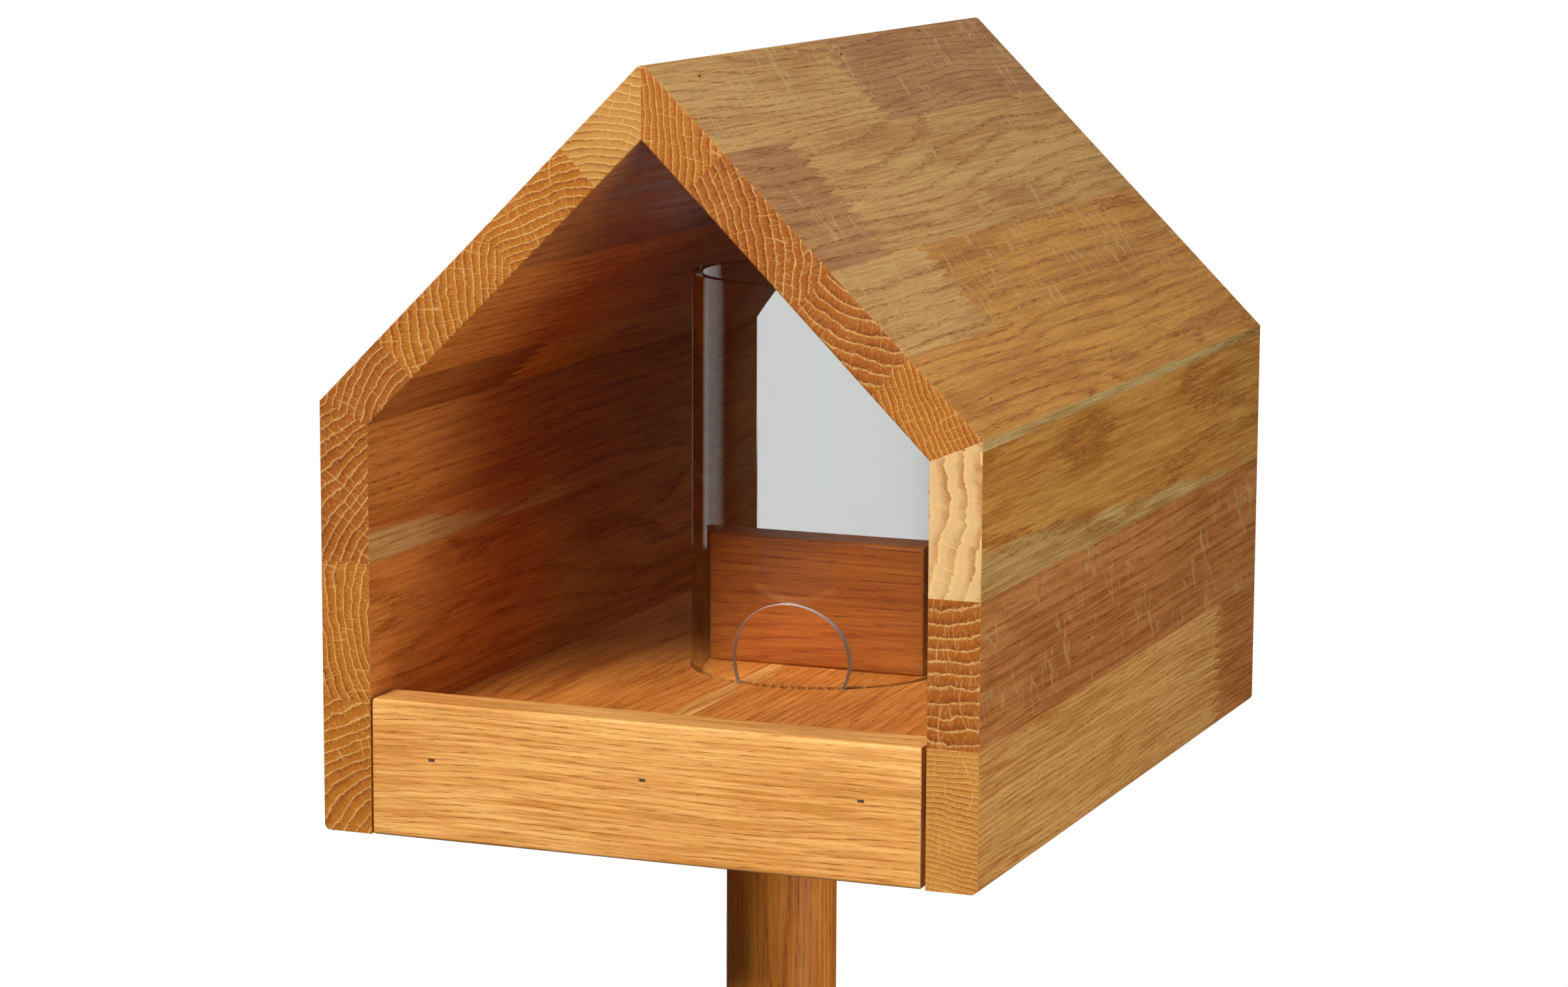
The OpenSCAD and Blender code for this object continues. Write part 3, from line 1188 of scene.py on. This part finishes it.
# %% Glue the floor
floor_grain = Grain((floor_lo.x, floor_lo.y, floor_hi.z), (0, 1, 0), (1, 0, 0), (0, 0, -1))
make_oak(
    "floor_board_glued",
    floor_mesh,
    floor_grain,
    [
        Stave(46, RUSSET, END_WARM, (30, 60), 3.2),
        Stave(43, RUSSET, END_WARM, (-20, 55), 2.6),
        Stave(7.5, "#e6ac62", END_WARM, (-20, 55), 2.6),
        Stave(56, RUSSET, END_DEEP, (60, 60), 3.0),
        Stave(64, RUSSET, END_WARM, (-50, 50), 3.6),
    ],
    board_oak,
    "house",
    ["floor_board"],
    ease=0,
    seed=71,
)

# %% [markdown]
# ## Rails and divider
#
# Each rail is one straight piece of pale quartered oak, nailed on. The divider is a darker
# piece that stands loose in the tube and sends the seed out to both sides. Its deep tint is
# partly the wood's own and partly painted shade, for the shadow it stands in inside the tube.

# %% Make the rails and the divider
for side, inwards in (("front", 1), ("rear", -1)):
    low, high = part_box(f"{side}_rail")
    outer = low.y if inwards > 0 else high.y
    make_oak(
        f"{side}_rail_board",
        mesh_of_node(f"{side}_rail"),
        Grain((low.x, outer, low.z), (1, 0, 0), (0, 0, 1), (0, inwards, 0)),
        [Stave(50, GOLD, END_PALE, (-90, 60), 1.7)],
        rail_oak,
        "house",
        [f"{side}_rail"],
        ease=0.6,
        seed=83 + inwards,
    )
low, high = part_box("seed_divider")
# The divider's deep tint is partly painted shade, darker than its wood alone.
make_oak(
    "seed_divider_board",
    mesh_of_node("seed_divider"),
    Grain((low.x, low.y, low.z), (1, 0, 0), (0, 0, 1), (0, 1, 0)),
    [Stave(50, "#a25817", END_WARM, (-40, 60), 2.2)],
    rail_oak,
    "silo_insert",
    ["seed_divider"],
    ease=0.8,
    seed=97,
)

# %% [markdown]
# ## The clear tube
#
# The silo is extruded acrylic: water clear, IOR 1.49, with a faint grey tint through its
# thickness. The outlets are sawn and left as the saw made them, so their edges are frosted.


# %% Cut the tube
OUTLET_RADIUS = 22.5 * MM
OUTLET_RISE = 13 * MM
OUTLET_TURN = math.radians(6)
REACH = 60 * MM  # the cutter goes past the tube on both sides
outlet = turned(
    [(0, -REACH), (OUTLET_RADIUS, -REACH), (OUTLET_RADIUS, REACH), (0, REACH)], steps=128
)
outlet.transform(
    Matrix.Translation((0, 0, tube_lo.z + OUTLET_RISE))
    @ Matrix.Rotation(OUTLET_TURN, 4, "Z")
    @ Matrix.Rotation(math.pi / 2, 4, "X")
)
pipe = turned(
    [
        (tube_radius - TUBE_WALL, tube_lo.z),
        (tube_radius, tube_lo.z),
        (tube_radius, tube_hi.z),
        (tube_radius - TUBE_WALL, tube_hi.z),
    ],
    steps=FINE_STEPS,
)
tube = cut_away(pipe, outlet)
bmesh.ops.translate(tube, vec=(tube_axis.x, tube_axis.y, 0), verts=tube.verts)


print("outlet width in metres:", 2 * OUTLET_RADIUS)

# %% [markdown]
# ## Two finishes of acrylic
#
# Polished acrylic is a clear solid, so it bends what is behind it and shows bright edges. A
# saw leaves fine scratches that scatter light, and the cut turns milky. Fine noise stands
# for the scratches.



# %% Make the acrylics
def clear_acrylic():
    """Extruded acrylic sheet or tube: clear, polished, IOR 1.49."""
    material = bpy.data.materials.new("clear acrylic")
    material.use_nodes = True
    tree = material.node_tree
    shader = tree.nodes["Principled BSDF"]
    shader.inputs["Base Color"].default_value = linear("#eaeceb")
    shader.inputs["Roughness"].default_value = 0.01
    shader.inputs["IOR"].default_value = 1.49
    shader.inputs["Transmission Weight"].default_value = 1.0
    # A lamp's light passes almost unhindered, which a refracting solid can't show by itself.
    shadow = add(tree, "ShaderNodeLightPath", output="Is Shadow Ray")
    passing = add(tree, "ShaderNodeBsdfTransparent", {"Color": linear("#f4f4f2")})
    mixed = add(tree, "ShaderNodeMixShader", [shadow, shader.outputs[0], passing])
    tree.links.new(mixed, tree.nodes["Material Output"].inputs["Surface"])
    return material


def sawn_acrylic():
    """The same acrylic where a saw has frosted it."""
    material = bpy.data.materials.new("sawn acrylic")
    material.use_nodes = True
    tree = material.node_tree
    shader = tree.nodes["Principled BSDF"]
    marks = add(tree, NOISE, {"Scale": 900.0, "Detail": 2.0})
    shader.inputs["Base Color"].default_value = linear("#c9c4bf")
    shader.inputs["Roughness"].default_value = 0.45
    shader.inputs["IOR"].default_value = 1.49
    shader.inputs["Transmission Weight"].default_value = 0.55
    bump = add(tree, "ShaderNodeBump", {"Strength": 0.5, "Distance": 0.1 * MM, "Height": marks})
    tree.links.new(bump, shader.inputs["Normal"])
    return material


print("acrylic IOR:", 1.49)

# %% [markdown]
# ## Which faces were sawn
#
# The edges of the outlets and the foot keep the saw's finish, and the wall and the top rim are
# polished. A face is part of the wall when it looks straight out from the axis or back at it.

# %% Finish the tube
RADIAL, LEVEL = 0.9, 0.99  # how closely a face must look outwards, or upwards
smooth_round(tube)
tube_object = object_of("silo_tube_clear", tube)
tube_object.data.materials.append(clear_acrylic())
tube_object.data.materials.append(sawn_acrylic())
for polygon in tube_object.data.polygons:
    spot = Vector(polygon.center) - Vector((tube_axis.x, tube_axis.y, 0))
    radial = Vector((spot.x, spot.y, 0)).normalized().dot(polygon.normal)
    upright = abs(polygon.normal.z) > LEVEL and polygon.center.z > tube_hi.z - MM
    polygon.material_index = int(abs(radial) <= RADIAL and not upright)
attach(tube_object, "silo")
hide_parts("silo_tube")
print("tube faces:", len(tube_object.data.polygons))

# %% [markdown]
# ## Pole, socket and foot
#
# The pole is turned, so its grain runs up it and its rings show as upright streaks. Collar
# and socket are turned rings cut from board, with the grain lying flat across them.

# %% Turn the pole
POLE_EASE = MM
pole_mesh = turned(
    [
        (0, pole_lo.z),
        (pole_radius, pole_lo.z),
        (pole_radius, pole_hi.z - POLE_EASE),
        (pole_radius - 0.3 * POLE_EASE, pole_hi.z - 0.3 * POLE_EASE),
        (pole_radius - POLE_EASE, pole_hi.z),
        (0, pole_hi.z),
    ]
)
pole_piece = make_oak(
    "pole_turned",
    pole_mesh,
    Grain((0, -pole_radius, pole_lo.z), (0, 0, 1), (0, 1, 0), (1, 0, 0)),
    [Stave(42, "#f09a3c", END_DEEP, (-30, 12), 3.0)],
    pole_oak,
    "stand",
    ["pole"],
    ease=0,
    seed=101,
)
for polygon in pole_piece.data.polygons:
    polygon.use_smooth = abs(polygon.normal.z) < 0.5

print("pole length in metres:", round(pole_hi.z - pole_lo.z, 3))

# %% [markdown]
# ## Socket, collar and arms
#
# Two rings hold the pole at its ends, and two arms halved over each other spread the load.
# The arms are plain planks, eased a little more than the house because they get knocked.


# %% Make the rings and the arms
def make_ring(name, node, body, material, seed):
    """A turned ring with its grain lying along X."""
    low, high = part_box(node)
    return make_oak(
        name,
        mesh_of_node(node),
        Grain((low.x, low.y, high.z), (1, 0, 0), (0, 1, 0), (0, 0, -1)),
        [Stave((high.y - low.y) / MM, BROWN, END_DEEP, (20, 70), 3.4)],
        material,
        body,
        [node],
        ease=0,
        seed=seed,
    )


make_ring("pole_socket_ring", "pole_socket", "house", board_oak, 107)
make_ring("foot_collar_ring", "foot_collar", "stand", pole_oak, 109)
for name, node, along, across in (
    ("lower_arm", "lower_foot_arm", (1, 0, 0), (0, 1, 0)),
    ("upper_arm", "upper_foot_arm", (0, 1, 0), (1, 0, 0)),
):
    low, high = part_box(node)
    make_oak(
        name,
        mesh_of_node(node),
        Grain((low.x, low.y, high.z), along, across, (0, 0, -1)),
        [Stave(60, BROWN, END_DEEP, (25, 60), 3.2)],
        pole_oak,
        "stand",
        [node],
        ease=1.2,
        seed=113 + len(name),
    )

# %% [markdown]
# ## Steel and dowels
#
# Brads, screws, the lag screw and its washer are zinc-plated steel: a metal with a grey,
# slightly cloudy surface. The dowels are hidden in the wood and only need their own oak.


# %% Plate the steel
def zinc_plated_steel():
    """Bright zinc on steel: grey metal, roughness about 0.35, faintly cloudy."""
    material = bpy.data.materials.new("zinc plated steel")
    material.use_nodes = True
    tree = material.node_tree
    shader = tree.nodes["Principled BSDF"]
    shader.inputs["Metallic"].default_value = 1.0
    cloud = add(tree, NOISE, {"Scale": 260.0, "Detail": 3.0})
    colour = add(tree, MIX, {0: cloud, 6: linear("#8f9296"), 7: linear("#c4c7ca")}, **COLOUR)
    rough = add(tree, RANGE, {0: cloud, 3: 0.28, 4: 0.46})
    tree.links.new(colour, shader.inputs["Base Color"])
    tree.links.new(rough, shader.inputs["Roughness"])
    return material


steel = zinc_plated_steel()
STEEL_NODES = (
    "ridge_brads",
    "left_eave_brads",
    "right_eave_brads",
    "front_rail_brads",
    "rear_rail_brads",
    "socket_screws",
    "collar_screws",
    "pole_lag_screw",
    "lag_washer",
)
for node in STEEL_NODES:
    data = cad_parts[node].data
    data.materials.clear()
    data.materials.append(steel)
print("steel nodes:", len(STEEL_NODES))

# %% [markdown]
# ## Dowels
#
# Dowels of the lighter oak pin the floor between the walls. Their holes stop inside the board,
# so nothing of them shows from outside.

# %% Make the dowels
for side in ("left", "right"):
    node = f"{side}_floor_dowels"
    low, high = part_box(node)
    make_oak(
        f"{side}_dowels",
        mesh_of_node(node),
        Grain((low.x, low.y, high.z), (1, 0, 0), (0, 1, 0), (0, 0, -1)),
        [Stave((high.y - low.y) / MM, HONEY, END_WARM, (20, 60), 2.5)],
        rail_oak,
        "house",
        [node],
        ease=0,
        seed=127,
    )

# %% [markdown]
# ## Studio
#
# A pale floor fades to white away from the foot, so that it has no visible end. The key light is
# a large soft box in front and to the left. It strikes the gable and grazes the floor of the
# house. A weaker box on the right opens up the roof and the side wall.


# %% Make the floor
FADE_FROM_TO = (0.6, 2.4)  # metres from the pole
FLOOR_RADIUS = 2.5


def studio_floor():
    """A pale matt floor that turns to plain white at a distance."""
    material = bpy.data.materials.new("pale studio floor")
    material.use_nodes = True
    tree = material.node_tree
    shader = tree.nodes["Principled BSDF"]
    path = add(tree, "ShaderNodeLightPath", output=None)
    place = add(tree, "ShaderNodeTexCoord", output=3)
    depth = add(tree, "ShaderNodeSeparateXYZ", [place], output=1)
    behind = add(tree, RANGE, [depth, 0.2, 0.4])
    through = add(tree, MATH, [path["Is Transmission Ray"], behind], operation="MULTIPLY")
    seen = add(tree, MATH, [path["Is Camera Ray"], through], operation="MAXIMUM")
    tone = add(tree, MIX, {0: seen, 6: linear("#77726c"), 7: linear("#ecebe8")}, **COLOUR)
    tree.links.new(tone, shader.inputs["Base Color"])
    shader.inputs["Roughness"].default_value = 0.85
    far = add(tree, VECTOR, [place], output=1, operation="LENGTH")
    share = add(tree, RANGE, [far, *FADE_FROM_TO, 0.22, 1.0], **SMOOTH)
    glow = add(tree, RANGE, {0: seen, 3: 0.1, 4: 1.0})
    white = add(tree, "ShaderNodeEmission", {"Color": linear("#ffffff"), "Strength": glow})
    mixed = add(tree, "ShaderNodeMixShader", [share, shader.outputs[0], white])
    tree.links.new(mixed, tree.nodes["Material Output"].inputs["Surface"])
    return material


floor_disc = bmesh.new()
bmesh.ops.create_circle(floor_disc, cap_ends=True, segments=96, radius=FLOOR_RADIUS)
floor_object = object_of("studio_floor", floor_disc)
floor_object.location.z = -0.0006
floor_object.data.materials.append(studio_floor())
print("floor radius in metres:", FLOOR_RADIUS)

# %% [markdown]
# ## Surroundings
#
# The surroundings are white where they are seen and almost dark where they light, so the soft
# boxes shape the object. Seen through the clear tube they are white only towards the rear,
# where the room is open. Without that the tube's wall would look milky.

# %% Make the surroundings
AMBIENT = 0.05

world = bpy.data.worlds.new("studio")
bpy.context.scene.world = world
world.use_nodes = True
world_tree = world.node_tree
path = add(world_tree, "ShaderNodeLightPath", output=None)
around = add(world_tree, "ShaderNodeTexCoord")
rearward = add(world_tree, "ShaderNodeSeparateXYZ", [around], output=1)
behind = add(world_tree, RANGE, [rearward, 0.72, 0.84, 0.12, 1.0])
through = add(world_tree, MATH, [path["Is Transmission Ray"], behind], operation="MULTIPLY")
seen = add(world_tree, MATH, [path["Is Camera Ray"], through], operation="MAXIMUM")
strength = add(world_tree, RANGE, {0: seen, 3: AMBIENT, 4: 1.0})
background = world_tree.nodes["Background"]
background.inputs["Color"].default_value = linear("#ffffff")
world_tree.links.new(strength, background.inputs["Strength"])
print("ambient share:", AMBIENT)

# %% [markdown]
# ## Soft boxes
#
# Each light is a square box placed round the house by azimuth, height and distance, in degrees
# and metres. The key box is much the strongest.


# %% Place the lights
def soft_box(name, place, aim, size, power, colour="#ffffff"):
    """A square area light that faces a point."""
    data = bpy.data.lights.new(name, "AREA")
    data.shape, data.size = "SQUARE", size
    data.energy, data.color = power, linear(colour)[:3]
    light = bpy.data.objects.new(name, data)
    light.location = place
    light.rotation_mode = "QUATERNION"
    light.rotation_quaternion = (Vector(aim) - Vector(place)).to_track_quat("-Z", "Y")
    bpy.context.collection.objects.link(light)
    return light


aim = middle + Vector((0, 0, 0.12))


def beside(azimuth, elevation, distance):
    """A place seen from the house: azimuth from the front, positive to the right."""
    a, e = math.radians(azimuth), math.radians(elevation)
    return aim + distance * Vector(
        (math.sin(a) * math.cos(e), -math.cos(a) * math.cos(e), math.sin(e))
    )


soft_box("key", beside(-12, 38, 3.0), aim, 1.1, 104)
soft_box("fill", beside(70, 4, 1.3), aim, 0.5, 3.5)
soft_box("low", beside(64, -16, 1.3), aim - Vector((0, 0, 0.1)), 0.4, 4.0)
soft_box("rear", beside(160, 40, 2.6), aim, 1.0, 8)
scene = bpy.context.scene
scene.view_settings.view_transform = "Standard"
